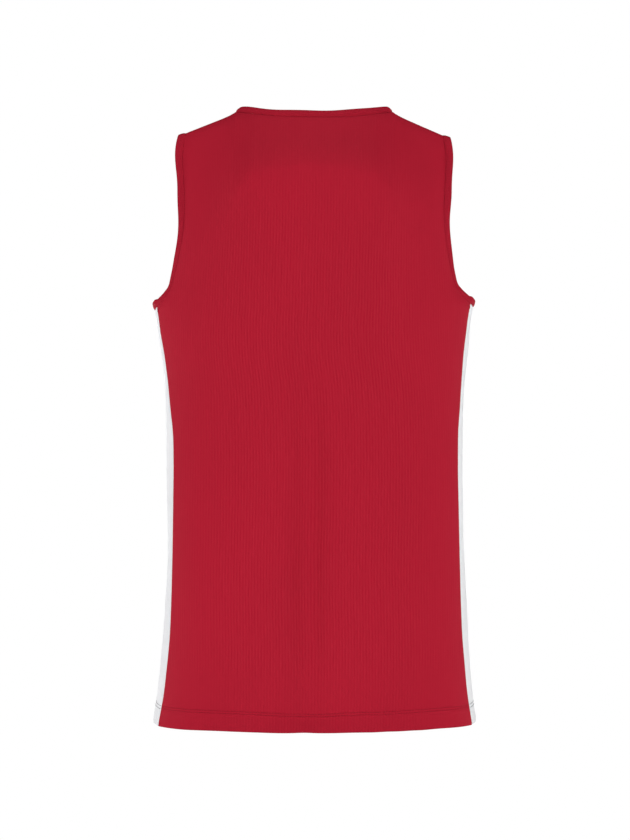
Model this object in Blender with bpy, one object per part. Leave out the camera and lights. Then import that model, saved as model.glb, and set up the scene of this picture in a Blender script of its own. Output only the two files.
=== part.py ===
"""Basketball jersey, sleeveless and filled out as worn, in the seven pieces it is cut and sewn from.

The front faces -Y, +X is the wearer's left and +Z is up. The origin lies midway between the shoulders, level
with the top of the shoulder seams. Sizes below are in millimetres; the meshes are in metres.
"""

import math

import bmesh
import bpy
import numpy as np

METRES = 0.001

# Heights, from the level of the shoulder seams' neck ends.
HEM_Z = -751.2
HEM_LIFT = 4.0
HEM_LIFT_ROUND = 1.15
UNDERARM_Z = -237.0
UNDERARM_DIP = 4.0

# Shoulder line: a straight slope that curls up a little where the neck band is sewn on.
NECK_HALF = 97.0
NECK_END_Z = 1.9
SHOULDER_TIP = 157.8
SHOULDER_SLOPE = 0.41
NECK_CURL = 2.1
NECK_CURL_REACH = 6.0

# How far below the shoulder line the cloth has sloped down to its full depth: soon between the shoulder blades,
# later beside the armholes, where it falls away. The powers say how steadily it slopes, and the ridge is how rounded
# it is where it turns over the shoulder seam.
ROUNDING_AT_NECK = 96.0
ROUNDING_AT_TIP = 152.0
POWER_AT_NECK = 1.7
POWER_AT_TIP = 1.6
BLADE_EDGE = (70.0, 138.0)
RIDGE_ROUNDING = 0.9

# Neckline seam: a shallow dip at the back, a round scoop at the front.
BACK_NECK_DIP = 9.4
BACK_NECK_FLATNESS = 2.7
BACK_NECK_ROUND = 1.35
FRONT_NECK_DROP = 95.0
FRONT_NECK_ROUND = 0.85

# Cloth and sewing.
WALL = 1.2
HEM_WALL = 2.2
HEM_TURN = 22.0
HEM_STEP = 2.5
SEAM_GAP = 0.3
NECK_BAND_WIDTH = 8.8
ARM_BAND_WIDTH = 9.5

# The largest fold: a soft trough down the middle of the back, from below the shoulder blades nearly to the hem.
TROUGH_DEPTH = 11.0
TROUGH_HALF = 28.0
TROUGH_SOFTNESS = 2.5
TROUGH_POWER = 1.3
TROUGH_MIDDLE_Z = -520.0
TROUGH_REACH = 200.0

# How closely the pull of an armhole band keeps to the edge: a power of the place across the panel.
PULL_NARROWNESS = 14

# The cloth swings out sideways where the armhole band holds it at the underarm.
FLARE = 2.2
FLARE_REACH = 15.0
FLARE_NARROWNESS = 10

# Columns and rows of the meshes, and how far they crowd towards the neck's corners and the shoulder's turn. The last
# rows are those of the turned hem.
NECK_COLUMNS = 20
NECK_CROWDING = 0.8
SHOULDER_COLUMNS = 5
SHOULDER_CROWDING = 0.9
ARMHOLE_ROWS = 14
ARMHOLE_CROWDING = 0.86
BODY_ROWS = 16
BODY_CROWDING = 1.3
SIDE_COLUMNS = 8
HEM_ROWS = 3

# The distance over which slopes are measured, and the angle of an edge that is left sharp, in degrees.
SLOPE_STEP = 0.01
SHARP_ANGLE = 50

ROUGHNESS = 0.8


class Table:
    """A short table with named columns, read between its rows along a smooth curve."""

    def __init__(self, columns, *rows):
        self.columns = dict(zip(columns.split(), np.array(sorted(rows), float).T))
        self.place = self.columns[columns.split()[0]]
        self.slopes = {name: np.gradient(values, self.place) for name, values in self.columns.items()}

    def at(self, name, place):
        values, slopes = self.columns[name], self.slopes[name]
        row = int(np.clip(np.searchsorted(self.place, place) - 1, 0, len(values) - 2))
        span = self.place[row + 1] - self.place[row]
        part = float(np.clip((place - self.place[row]) / span, 0.0, 1.0))
        rise = part * part * (3.0 - 2.0 * part)
        start = part * (1.0 - part) ** 2 * span * slopes[row]
        end = part * part * (part - 1.0) * span * slopes[row + 1]
        return float(values[row] * (1.0 - rise) + values[row + 1] * rise + start + end)


# Level sections of the filled-out body. Each is a rounded oval: half its width, its depth behind and in front of
# the sides, how square its corners are (2 is an ellipse), and where the side-panel seams lie, as a share of the
# half width.
SECTIONS = Table(
    "height half_width back front squareness seam",
    (25, 173.0, 72.0, 72.0, 2.50, 0.9800),
    (0, 173.0, 77.0, 78.0, 2.50, 0.9800),
    (-30, 173.0, 83.0, 87.0, 2.45, 0.9800),
    (-60, 173.5, 94.0, 97.0, 2.35, 0.9800),
    (-100, 175.0, 108.0, 109.0, 2.20, 0.9800),
    (-133, 178.5, 113.0, 115.0, 2.12, 0.9800),
    (-169, 184.2, 116.0, 119.0, 2.10, 0.9800),
    (-201, 189.6, 117.0, 121.0, 2.12, 0.9800),
    (-220, 192.4, 117.2, 121.6, 2.18, 0.9800),
    (-237, 193.4, 116.6, 121.5, 2.20, 0.9790),
    (-262, 192.1, 115.2, 120.5, 2.30, 0.9800),
    (-295, 188.4, 111.8, 118.5, 2.45, 0.9740),
    (-332, 184.1, 107.0, 115.0, 2.65, 0.9750),
    (-360, 182.5, 105.0, 112.5, 2.85, 0.9705),
    (-390, 181.8, 102.0, 110.0, 3.05, 0.9575),
    (-426, 181.3, 100.0, 108.0, 3.25, 0.9555),
    (-476, 181.4, 101.5, 107.5, 3.40, 0.9575),
    (-531, 181.2, 106.0, 108.5, 3.40, 0.9645),
    (-568, 182.7, 110.0, 110.0, 3.40, 0.9595),
    (-599, 184.6, 113.0, 111.0, 3.35, 0.9535),
    (-642, 187.2, 115.0, 112.0, 3.25, 0.9505),
    (-672, 189.5, 115.0, 112.0, 3.20, 0.9540),
    (-709, 193.0, 112.0, 109.5, 3.10, 0.9580),
    (-740, 197.4, 106.5, 106.0, 3.00, 0.9640),
    (-751, 198.7, 103.0, 104.0, 3.00, 0.9670),
)

# Armhole edge of the back and of the front panel: how far from the middle it lies at each height, and how far the
# band has pulled the cloth in towards the arm there.
ARMHOLE = Table(
    "height back front pull",
    (-25.1, 157.8, 157.8, 0.0),
    (-50, 160.9, 157.8, 0.0),
    (-95, 158.9, 153.0, 0.0),
    (-133, 157.6, 151.0, 1.0),
    (-169, 161.5, 154.0, 4.0),
    (-201, 168.4, 163.0, 6.0),
    (-220, 174.6, 172.4, 5.8),
    (-228, 180.3, 178.5, 4.4),
    (-232, 184.0, 182.9, 3.0),
    (-235, 187.2, 186.7, 1.4),
    (-237, 189.3, 189.3, 0.0),
)

# How far each band is turned outwards from the run of the cloth, in degrees, by the share of the way round.
NECK_TURN = Table("way turn", (0, 20), (0.12, 14), (0.25, 12), (0.38, 14), (0.5, 20), (0.75, 8), (1, 20))
ARM_TURN = Table(
    "way turn", (0, 6), (0.1, 24), (0.17, 20), (0.23, 14), (0.28, 4), (0.34, -2), (0.4, 8),
    (0.5, 18), (0.6, 8), (0.66, -2), (0.72, 4), (0.77, 14), (0.83, 20), (0.9, 24), (1, 6),
)

# A band's folded strip, cut across: along its width as a share, and out from the cloth's face in millimetres.
BAND_SECTION = (
    (0.00, 0.3),
    (0.35, 0.6),
    (0.80, 0.4),
    (1.00, -0.8),
    (0.80, -2.0),
    (0.35, -2.1),
    (0.00, -1.8),
)

RED = (0.378, 0.010, 0.025)
BAND_RED = (0.350, 0.010, 0.024)
WHITE = (0.80, 0.80, 0.81)


def mix(first, last, share):
    return first + (last - first) * share


def unit(vector):
    return vector / np.linalg.norm(vector)


def shoulder_line(x):
    """Height of the shoulder line, and of the arch that carries it on across the neck."""
    if x < NECK_HALF:
        return NECK_END_Z + SHOULDER_SLOPE * (NECK_HALF**2 - x * x) / (2.0 * NECK_HALF)
    curl = NECK_CURL * (1.0 - math.exp((NECK_HALF - x) / NECK_CURL_REACH))
    return NECK_END_Z - SHOULDER_SLOPE * (x - NECK_HALF) - curl


def rounding_squared(x, z):
    """Square of the share of its full depth that the cloth has reached this far below the shoulder line."""
    beyond = float(np.clip((x - BLADE_EDGE[0]) / (BLADE_EDGE[1] - BLADE_EDGE[0]), 0.0, 1.0))
    beyond = beyond * beyond * (3.0 - 2.0 * beyond)
    reach = mix(ROUNDING_AT_NECK, ROUNDING_AT_TIP, beyond)
    left = float(np.clip(1.0 - (shoulder_line(x) - z) / reach, 0.0, 1.0))
    slope = 1.0 - left ** mix(POWER_AT_NECK, POWER_AT_TIP, beyond)
    return slope * slope + RIDGE_ROUNDING * (1.0 - left) * left**3


def trough(x, z):
    """Depth of the soft trough in the middle of the back."""
    along = math.exp(-(((z - TROUGH_MIDDLE_Z) / TROUGH_REACH) ** 4))
    return TROUGH_DEPTH * along * math.exp(-((math.hypot(x, TROUGH_SOFTNESS) / TROUGH_HALF) ** TROUGH_POWER))


def full_depth(side, x, z):
    """Distance of the unfolded back or front from the plane of the sides, before it rounds to the shoulders."""
    power = SECTIONS.at("squareness", z)
    return SECTIONS.at(side, z) * (1.0 - (x / SECTIONS.at("half_width", z)) ** power) ** (1.0 / power)


def folded_in(side, x, z):
    """How far the trough and the armhole band have drawn the cloth in."""
    drawn = trough(x, z) if side == "back" else 0.0
    if z > UNDERARM_Z:
        drawn += ARMHOLE.at("pull", z) * (x / ARMHOLE.at(side, z)) ** PULL_NARROWNESS
    return drawn


def cloth_y(side, x, z):
    """Place of the outer face, behind the plane of the sides for the back and ahead of it for the front."""
    rounded = math.sqrt(max(0.0, rounding_squared(x, z)))
    out = full_depth(side, x, z) * rounded - folded_in(side, x, z)
    return out if side == "back" else -out


def inside_panel(side, point):
    """Positive under the outer face of the back or front, negative outside it."""
    x, y, z = abs(point[0]), abs(point[1]), point[2]
    return full_depth(side, x, z) ** 2 * rounding_squared(x, z) - (y + folded_in(side, x, z)) ** 2


def inside_flank(point):
    """Positive under the outer face of a side panel, negative outside it."""
    x, y, z = abs(point[0]), point[1], point[2]
    power = SECTIONS.at("squareness", z)
    deep = SECTIONS.at("back" if y > 0 else "front", z)
    return 1.0 - (x / SECTIONS.at("half_width", z)) ** power - (abs(y) / deep) ** power


def flare(share, z):
    """How far the cloth swings out at this share of the way from the middle to the side."""
    return FLARE * share**FLARE_NARROWNESS * math.exp(-(((z - UNDERARM_Z) / FLARE_REACH) ** 2))


def top_height(side, x):
    """Height of a panel's top edge: its neckline, then its shoulder seam."""
    if x >= NECK_HALF:
        return shoulder_line(x)
    share = x / NECK_HALF
    if side == "back":
        return NECK_END_Z - BACK_NECK_DIP * (1.0 - share**BACK_NECK_FLATNESS) ** BACK_NECK_ROUND
    return NECK_END_Z - FRONT_NECK_DROP * (1.0 - share * share) ** FRONT_NECK_ROUND


def fall(down):
    """Share of the armhole's height, spaced so that rows are close where the cloth turns over the shoulder."""
    last = ARMHOLE_CROWDING * math.pi
    return (1.0 - math.cos(last * down)) / (1.0 - math.cos(last))


def hem_height(across):
    """Height of the hem of a panel, a little lifted towards its two side seams."""
    return HEM_Z + HEM_LIFT * abs(across) ** HEM_LIFT_ROUND


def panel_point(side, across, down):
    """A point of the back or front: across from -1 to 1, down 0 at the top, 1 at the underarm, 2 at the hem."""
    share = abs(across)
    if down < 1.0:
        edge_z = mix(shoulder_line(SHOULDER_TIP), UNDERARM_Z, fall(down))
        x = share * ARMHOLE.at(side, edge_z)
        z = mix(top_height(side, share * SHOULDER_TIP), UNDERARM_Z, fall(down))
    else:
        z = mix(UNDERARM_Z, hem_height(across), down - 1.0)
        x = share * SECTIONS.at("seam", z) * SECTIONS.at("half_width", z)
    return np.array((math.copysign(x + flare(share, z), across), cloth_y(side, x, z), z))


def side_point(across, down):
    """A point of the left side panel: across from -1 at the front seam to 1 at the back, down from 0 to 1."""
    top = UNDERARM_Z - UNDERARM_DIP * (1.0 - across * across)
    z = mix(top, hem_height(across), down)
    power = SECTIONS.at("squareness", z)
    seam_depth = (1.0 - SECTIONS.at("seam", z) ** power) ** (1.0 / power)
    y = across * seam_depth
    x = SECTIONS.at("half_width", z) * (1.0 - abs(y) ** power) ** (1.0 / power)
    return np.array((x + flare(1.0, z), y * SECTIONS.at("back" if across > 0 else "front", z), z))


def outward(inside, point):
    """Unit normal of the outer face, down the slope of a function that falls from inside to outside."""
    slope = [inside(point + step) - inside(point - step) for step in SLOPE_STEP * np.eye(3)]
    return -unit(np.array(slope))


def surface_grid(surface, inside, columns, rows):
    """Outer points and normals of a surface, one list for each row."""
    points = np.array([[surface(a, d) for a in columns] for d in rows])
    normals = np.array([[outward(inside, point) for point in row] for row in points])
    return points, normals


def panel_columns():
    """Places across a main panel, with one at each end of the neckline."""
    corner = NECK_HALF / SHOULDER_TIP
    angles = np.linspace(-0.5 * math.pi, 0.5 * math.pi, NECK_COLUMNS + 1)
    neck = corner * mix(angles / (0.5 * math.pi), np.sin(angles), NECK_CROWDING)
    outer = mix(corner, 1.0, np.linspace(0.0, 1.0, SHOULDER_COLUMNS + 1)[1:] ** SHOULDER_CROWDING)
    return np.concatenate([-outer[::-1], neck, outer])


def body_rows():
    """Places down the body as shares from the underarm to the hem, closer at the underarm and the turned hem."""
    height = UNDERARM_Z - HEM_Z
    turned = 1.0 - HEM_TURN / height
    above = turned - HEM_STEP / height
    spaced = above * np.linspace(0.0, 1.0, BODY_ROWS + 1) ** BODY_CROWDING
    return np.concatenate([spaced, np.linspace(turned, 1.0, HEM_ROWS)])


def wall_thickness(rows_left):
    """Wall of each row of a panel: double over the last rows, where the hem is turned up."""
    return np.array([HEM_WALL if left < HEM_ROWS else WALL for left in range(rows_left - 1, -1, -1)])


def new_object(name, vertices, faces, colour):
    """A closed mesh in metres, facing out and shaded smooth, with its own material."""
    mesh = bpy.data.meshes.new(name)
    mesh.from_pydata([tuple(METRES * np.asarray(v)) for v in vertices], [], faces)
    shell = bmesh.new()
    shell.from_mesh(mesh)
    bmesh.ops.recalc_face_normals(shell, faces=shell.faces)
    shell.to_mesh(mesh)
    shell.free()
    mesh.shade_smooth()
    mesh.set_sharp_from_angle(angle=math.radians(SHARP_ANGLE))
    material = bpy.data.materials.new(name)
    material.use_nodes = True
    shader = material.node_tree.nodes["Principled BSDF"]
    shader.inputs["Base Color"].default_value = (*colour, 1.0)
    shader.inputs["Roughness"].default_value = ROUGHNESS
    shader.inputs["Metallic"].default_value = 0.0
    mesh.materials.append(material)
    piece = bpy.data.objects.new(name, mesh)
    bpy.context.scene.collection.objects.link(piece)
    return piece


def panel_solid(name, points, normals, walls, colour):
    """A cloth wall: the outer points, the same points moved in by the wall, and the rim between them."""
    rows, columns = points.shape[:2]
    inner = points - normals * walls[:, None, None]
    vertices = np.concatenate([points.reshape(-1, 3), inner.reshape(-1, 3)])
    outer_index = np.arange(rows * columns).reshape(rows, columns)
    inner_index = outer_index + rows * columns
    faces = []
    for r in range(rows - 1):
        for c in range(columns - 1):
            ring = ((r, c), (r, c + 1), (r + 1, c + 1), (r + 1, c))
            faces.append([int(outer_index[place]) for place in ring])
            faces.append([int(inner_index[place]) for place in reversed(ring)])
    for edge_out, edge_in in (
        (outer_index[0], inner_index[0]),
        (outer_index[-1], inner_index[-1]),
        (outer_index[:, 0], inner_index[:, 0]),
        (outer_index[:, -1], inner_index[:, -1]),
    ):
        for k in range(len(edge_out) - 1):
            faces.append([int(edge_out[k]), int(edge_out[k + 1]), int(edge_in[k + 1]), int(edge_in[k])])
    return new_object(name, vertices, faces, colour)


def band_solid(name, edge, normals, width, turn, colour):
    """A folded strip sewn round a closed edge: its section follows the cloth's run, turned out a little."""
    count = len(edge)
    tangents = np.roll(edge, -1, axis=0) - np.roll(edge, 1, axis=0)
    vertices = []
    for k in range(count):
        facing = normals[k]
        level = unit(np.cross(facing, tangents[k]))
        angle = math.radians(turn.at("turn", k / count))
        along = math.cos(angle) * level + math.sin(angle) * facing
        out = math.cos(angle) * facing - math.sin(angle) * level
        for share, proud in BAND_SECTION:
            vertices.append(edge[k] + (SEAM_GAP + width * share) * along + proud * out)
    corners = len(BAND_SECTION)
    faces = []
    for k in range(count):
        for c in range(corners):
            after, beside = (k + 1) % count, (c + 1) % corners
            faces.append([k * corners + c, after * corners + c, after * corners + beside, k * corners + beside])
    return new_object(name, vertices, faces, colour)


def mirrored(points):
    return points * np.array((-1.0, 1.0, 1.0))


def main_panel(side):
    """Outer points and normals of the back or front, with the shoulder seam's gap left open."""
    rows = np.concatenate([np.linspace(0.0, 1.0, ARMHOLE_ROWS + 1), 1.0 + body_rows()[1:]])
    columns = panel_columns()
    points, normals = surface_grid(
        lambda a, d: panel_point(side, a, d), lambda point: inside_panel(side, point), columns, rows
    )
    return columns, points, normals


def close_shoulder(side, columns, points):
    """Moves the shoulder edge half the seam's gap away from the other panel."""
    sewn = points.copy()
    on_shoulder = np.abs(columns) >= NECK_HALF / SHOULDER_TIP - 1e-9
    sewn[0, on_shoulder, 1] += 0.5 * SEAM_GAP * (1.0 if side == "back" else -1.0)
    return sewn


def side_panel():
    """Outer points and normals of the left side panel, held the seam's gap off both main panels."""
    columns = np.linspace(-1.0, 1.0, SIDE_COLUMNS + 1)
    points, normals = surface_grid(side_point, inside_flank, columns, body_rows())
    for edge, beside in ((0, 1), (-1, -2)):
        run = points[:, beside] - points[:, edge]
        points[:, edge] += SEAM_GAP * run / np.linalg.norm(run, axis=1)[:, None]
    return points, normals


def neck_loop(columns, back, front):
    """The neckline from the left shoulder round the back to the right, then round the front."""
    neck = np.flatnonzero(np.abs(columns) <= NECK_HALF / SHOULDER_TIP + 1e-9)
    behind, ahead = neck[::-1], neck[1:-1]
    points = np.concatenate([back[0][0][behind], front[0][0][ahead]])
    normals = np.concatenate([back[1][0][behind], front[1][0][ahead]])
    return points, normals


def armhole_loop(back, front, side):
    """The left armhole from the shoulder down the front, under the arm and up the back."""
    last = ARMHOLE_ROWS
    pieces = [
        (front[0][: last + 1, -1], front[1][: last + 1, -1]),
        (side[0][0, 1:-1], side[1][0, 1:-1]),
        (back[0][last:0:-1, -1], back[1][last:0:-1, -1]),
    ]
    return tuple(np.concatenate([piece[k] for piece in pieces]) for k in (0, 1))


def build():
    for old in list(bpy.data.objects):
        bpy.data.objects.remove(old, do_unlink=True)
    columns, *back = main_panel("back")
    _, *front = main_panel("front")
    side = side_panel()
    panel_walls = wall_thickness(len(back[0]))
    panel_solid("back_panel", close_shoulder("back", columns, back[0]), back[1], panel_walls, RED)
    panel_solid("front_panel", close_shoulder("front", columns, front[0]), front[1], panel_walls, RED)
    band_solid("neck_band", *neck_loop(columns, back, front), NECK_BAND_WIDTH, NECK_TURN, BAND_RED)
    side_walls = wall_thickness(len(side[0]))
    arm_edge, arm_normals = armhole_loop(back, front, side)
    panel_solid("side_panel_left", side[0], side[1], side_walls, WHITE)
    panel_solid("side_panel_right", mirrored(side[0]), mirrored(side[1]), side_walls, WHITE)
    band_solid("armhole_band_left", arm_edge, arm_normals, ARM_BAND_WIDTH, ARM_TURN, BAND_RED)
    # Mirroring turns the loop's direction round, so it is walked backwards to keep the strip outside the panel.
    backwards = np.concatenate([[0], np.arange(len(arm_edge) - 1, 0, -1)])
    band_solid(
        "armhole_band_right",
        mirrored(arm_edge[backwards]),
        mirrored(arm_normals[backwards]),
        ARM_BAND_WIDTH,
        ARM_TURN,
        BAND_RED,
    )


build()
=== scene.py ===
"""Basketball jersey: knitted panels, folded bands, seams, hem stitching and a plain studio.

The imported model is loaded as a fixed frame, and each piece of cloth here stands for one of its nodes. The front
faces -Y, +X is the wearer's left and +Z is up. Sizes are in millimetres until a mesh is made. Meshes, materials
and settings are in metres.
"""

import math

import bmesh
import bpy
import numpy as np
from bpy.props import FloatProperty, FloatVectorProperty, PointerProperty
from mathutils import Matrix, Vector


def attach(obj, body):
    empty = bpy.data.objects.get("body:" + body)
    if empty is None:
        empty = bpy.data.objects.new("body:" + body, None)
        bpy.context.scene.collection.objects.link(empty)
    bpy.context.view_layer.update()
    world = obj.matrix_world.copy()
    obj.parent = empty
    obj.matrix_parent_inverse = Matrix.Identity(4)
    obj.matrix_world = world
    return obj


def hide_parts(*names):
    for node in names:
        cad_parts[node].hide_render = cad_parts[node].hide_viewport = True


bl_info = {
    "name": "Basketball Jersey",
    "version": (1, 0, 0),
    "blender": (4, 5, 0),
    "location": "3D View > Sidebar > Jersey",
    "description": "Dresses a packed basketball jersey in knitted cloth, folded bands and stitching",
    "category": "Add Mesh",
}

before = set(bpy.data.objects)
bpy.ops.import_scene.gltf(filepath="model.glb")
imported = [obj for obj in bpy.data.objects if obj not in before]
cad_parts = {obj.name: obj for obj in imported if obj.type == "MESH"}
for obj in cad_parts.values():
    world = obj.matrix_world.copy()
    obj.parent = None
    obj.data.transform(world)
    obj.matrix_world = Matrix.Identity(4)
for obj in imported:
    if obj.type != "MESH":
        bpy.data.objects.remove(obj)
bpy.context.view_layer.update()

MM = 0.001

# ------------------------------------------------------------------------------------------------------------
# The garment's form, in the same values as its solids.

# Hem and underarm.
HEM_Z = -751.2
HEM_LIFT = 4.0
HEM_LIFT_ROUND = 1.15
UNDERARM_Z = -237.0
UNDERARM_DIP = 4.0
FLANK_LIFT = 2.5

# Neckline and shoulder line.
NECK_HALF = 97.0
NECK_END_Z = 1.9
SHOULDER_TIP = 157.8
SHOULDER_SLOPE = 0.41
NECK_CURL = 2.1
NECK_CURL_REACH = 6.0
BACK_NECK_DIP = 9.4
BACK_NECK_FLATNESS = 2.7
BACK_NECK_ROUND = 1.35
FRONT_NECK_DROP = 95.0
FRONT_NECK_ROUND = 0.85
CORNER = NECK_HALF / SHOULDER_TIP

# How the cloth rounds over to the shoulders, near the neck and near the shoulder's tip.
ROUNDING_AT_NECK = 96.0
ROUNDING_AT_TIP = 152.0
POWER_AT_NECK = 1.7
POWER_AT_TIP = 1.6
BLADE_EDGE = (70.0, 138.0)
RIDGE_ROUNDING = 0.9

# The soft trough down the middle of the back.
TROUGH_DEPTH = 11.0
TROUGH_HALF = 28.0
TROUGH_SOFTNESS = 2.5
TROUGH_POWER = 1.3
TROUGH_MIDDLE_Z = -520.0
TROUGH_REACH = 200.0

# The armhole: the band's pull, the cloth's swing outwards under the arm, and the crowding of its rows.
PULL_NARROWNESS = 14
FLARE = 2.2
FLARE_REACH = 15.0
FLARE_NARROWNESS = 10
ARMHOLE_CROWDING = 0.86

# Seams. A roll is how far the cloth dips as it turns into a seam. It changes from one kind of seam to the
# next over a height below the underarm, and over a share of the way across at the neck's corners.
SEAM_GAP = 0.1
SEAM_ROLL = 0.9
NECK_ROLL = 1.15
BAND_ROLL = 0.15
ROLL_REACH = 1.5
ROLL_CHANGE_HEIGHT = 8.0
ROLL_CHANGE_ACROSS = 0.04

# A seam's neatened edges: their width, how far they lap under the other piece, and how deep they lie.
SEAM_ALLOWANCE = 6.0
SEAM_LAP = 2.4
ALLOWANCE_DEPTH = 1.6
ALLOWANCE_UNDER_BAND = 2.4

# Bands: the angle, in radians, through which each bends in towards the body from its seam to its fold, how
# uneven its width is, and the share of the armhole's loop from the shoulder to the side panel.
BAND_BEND = 0.5
BAND_UNEVENNESS = 0.05
UNDERARM_WAY = 0.389

# Cloth: how far its middle lies inside the solids' outer faces, and how far from a seam it is free to fold.
INSET = 0.6
FREE_REACH = 14.0
FLANK_FREE_REACH = 9.0

# The turned hem, with heights measured up from its edge.
HEM_TURN = 29.0
HEM_FOLD_RADIUS = 1.1
HEM_INNER_ROWS = (3.0, 7.0, 11.0, 15.0, 19.0, 22.0, 24.5)

# Its stitches: the height of each row, how far and how widely they pull the cloth in, how that fades towards
# the side seams, how far a stitch stands over the cloth, the gap after it as a share of its length, and its
# sides.
STITCH_ROWS = (21.7, 25.5)
STITCH_PULL = 0.42
STITCH_PULL_REACH = 0.9
STITCH_PULL_FADE = 3.0
STITCH_STAND = 0.16
STITCH_GAP = 0.25
STITCH_SIDES = 6

# Spacing of the panels' rows, closer over the hem and a little above it, and of the rings round a band.
ROW_SPACING = 3.4
CLOSE_ROWS = 36
CLOSE_ROWS_ABOVE_HEM = 6.0
RING_SPACING = 2.2

# The angle between faces, in degrees, past which a shell's edge is sharp.
SHARP_ANGLE = 60

# The bake's own map: its margin, the share of it that one face of a shell fills, and the strip for a shell's
# rim.
BAKE_MARGIN = 0.005
BAKE_FACE = (0.485, 0.98)
BAKE_RIM = (0.99, 0.997)


class Table:
    """A short table with named columns, read between its rows along a smooth curve."""

    def __init__(self, columns, *rows):
        self.columns = dict(zip(columns.split(), np.array(sorted(rows), float).T))
        self.place = self.columns[columns.split()[0]]
        self.slopes = {name: np.gradient(values, self.place) for name, values in self.columns.items()}

    def at(self, name, place):
        """A column's values at these places, held level past the table's ends."""
        values, slopes = self.columns[name], self.slopes[name]
        row = np.clip(np.searchsorted(self.place, place) - 1, 0, len(values) - 2)
        span = self.place[row + 1] - self.place[row]
        part = np.clip((place - self.place[row]) / span, 0.0, 1.0)
        rise = part * part * (3.0 - 2.0 * part)
        start = part * (1.0 - part) ** 2 * span * slopes[row]
        end = part * part * (part - 1.0) * span * slopes[row + 1]
        return values[row] * (1.0 - rise) + values[row + 1] * rise + start + end


# Cross-sections at each height: half the width, the depth of the back and of the front, how square the
# outline is (2 is an ellipse), and how far out the side panels' seams lie, as a share of half the width.
SECTIONS = Table(
    "height half_width back front squareness seam",
    (25, 173.0, 72.0, 72.0, 2.50, 0.9800),
    (0, 173.0, 77.0, 78.0, 2.50, 0.9800),
    (-30, 173.0, 83.0, 87.0, 2.45, 0.9800),
    (-60, 173.5, 94.0, 97.0, 2.35, 0.9800),
    (-100, 175.0, 108.0, 109.0, 2.20, 0.9800),
    (-133, 178.5, 113.0, 115.0, 2.12, 0.9800),
    (-169, 184.2, 116.0, 119.0, 2.10, 0.9800),
    (-201, 189.6, 117.0, 121.0, 2.12, 0.9800),
    (-220, 192.4, 117.2, 121.6, 2.18, 0.9800),
    (-237, 193.4, 116.6, 121.5, 2.20, 0.9790),
    (-262, 192.1, 115.2, 120.5, 2.30, 0.9800),
    (-295, 188.4, 111.8, 118.5, 2.45, 0.9740),
    (-332, 184.1, 107.0, 115.0, 2.65, 0.9750),
    (-360, 182.5, 105.0, 112.5, 2.85, 0.9705),
    (-390, 181.8, 102.0, 110.0, 3.05, 0.9575),
    (-426, 181.3, 100.0, 108.0, 3.25, 0.9555),
    (-476, 181.4, 101.5, 107.5, 3.40, 0.9575),
    (-531, 181.2, 106.0, 108.5, 3.40, 0.9645),
    (-568, 182.7, 110.0, 110.0, 3.40, 0.9595),
    (-599, 184.6, 113.0, 111.0, 3.35, 0.9535),
    (-642, 187.2, 115.0, 112.0, 3.25, 0.9505),
    (-672, 189.5, 115.0, 112.0, 3.20, 0.9540),
    (-709, 193.0, 112.0, 109.5, 3.10, 0.9580),
    (-740, 197.4, 106.5, 106.0, 3.00, 0.9640),
    (-751, 198.7, 103.0, 104.0, 3.00, 0.9670),
    (-765, 200.3, 98.6, 101.5, 3.00, 0.9708),
)

# The armhole at each height: how far from the middle its edge lies at the back and at the front, and how far
# its band pulls the cloth in.
ARMHOLE = Table(
    "height back front pull",
    (-25.1, 157.8, 157.8, 0.0),
    (-50, 160.9, 157.8, 0.0),
    (-95, 158.9, 153.0, 0.0),
    (-133, 157.6, 151.0, 1.0),
    (-169, 161.5, 154.0, 4.0),
    (-201, 168.4, 163.0, 6.0),
    (-220, 174.6, 172.4, 5.8),
    (-228, 180.3, 178.5, 4.4),
    (-232, 184.0, 182.9, 3.0),
    (-235, 187.2, 186.7, 1.4),
    (-237, 189.3, 189.3, 0.0),
)

# How far each band turns up from the cloth, in degrees, at shares of the way round its loop.
NECK_TURN = Table("way turn", (0, 20), (0.12, 14), (0.25, 12), (0.38, 14), (0.5, 20), (0.75, 8), (1, 20))
ARM_TURN = Table(
    "way turn", (0, 3), (0.1, 24), (0.17, 20), (0.23, 14), (0.28, 4), (0.34, -2), (0.4, 8),
    (0.5, 18), (0.6, 8), (0.66, -2), (0.72, 4), (0.77, 14), (0.83, 20), (0.9, 24), (1, 3),
)

# A worn garment never hangs quite even: how far it leans to the wearer's right, twists and tilts at each
# height, and the share of the twist that moves its sides to and fro.
SIDE_TWIST = 0.15
HANG = Table(
    "height lean twist tilt",
    (10, 0.2, 0.0, -0.6),
    (0, 0.2, 0.0, 0.0),
    (-12, 0.2, 0.0, 0.8),
    (-30, 0.2, 0.0, 1.4),
    (-100, 0.5, 0.0, 0.6),
    (-150, 0.0, 0.0, 0.0),
    (-218, -0.6, -0.010, -1.3),
    (-237, 0.1, -0.018, -1.7),
    (-262, 0.2, -0.030, -1.4),
    (-303, 1.3, -0.030, -0.9),
    (-330, 0.9, 0.000, -0.7),
    (-353, 0.4, 0.020, -0.6),
    (-402, 0.0, 0.040, -0.4),
    (-450, -0.1, 0.042, -0.3),
    (-500, 1.2, 0.022, -0.3),
    (-550, 2.5, 0.000, -0.3),
    (-600, 2.4, 0.002, -0.3),
    (-650, 1.2, 0.020, -0.4),
    (-710, 0.6, 0.022, -0.8),
    (-755, 0.3, 0.022, -0.6),
)

# Where the hem of the back sags, as shares of the way to the side, and by how much.
HEM_SAGS = ({"across": 0.045, "wide": 0.24, "by": 3.0}, {"across": -0.44, "wide": 0.12, "by": 1.2})

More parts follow.
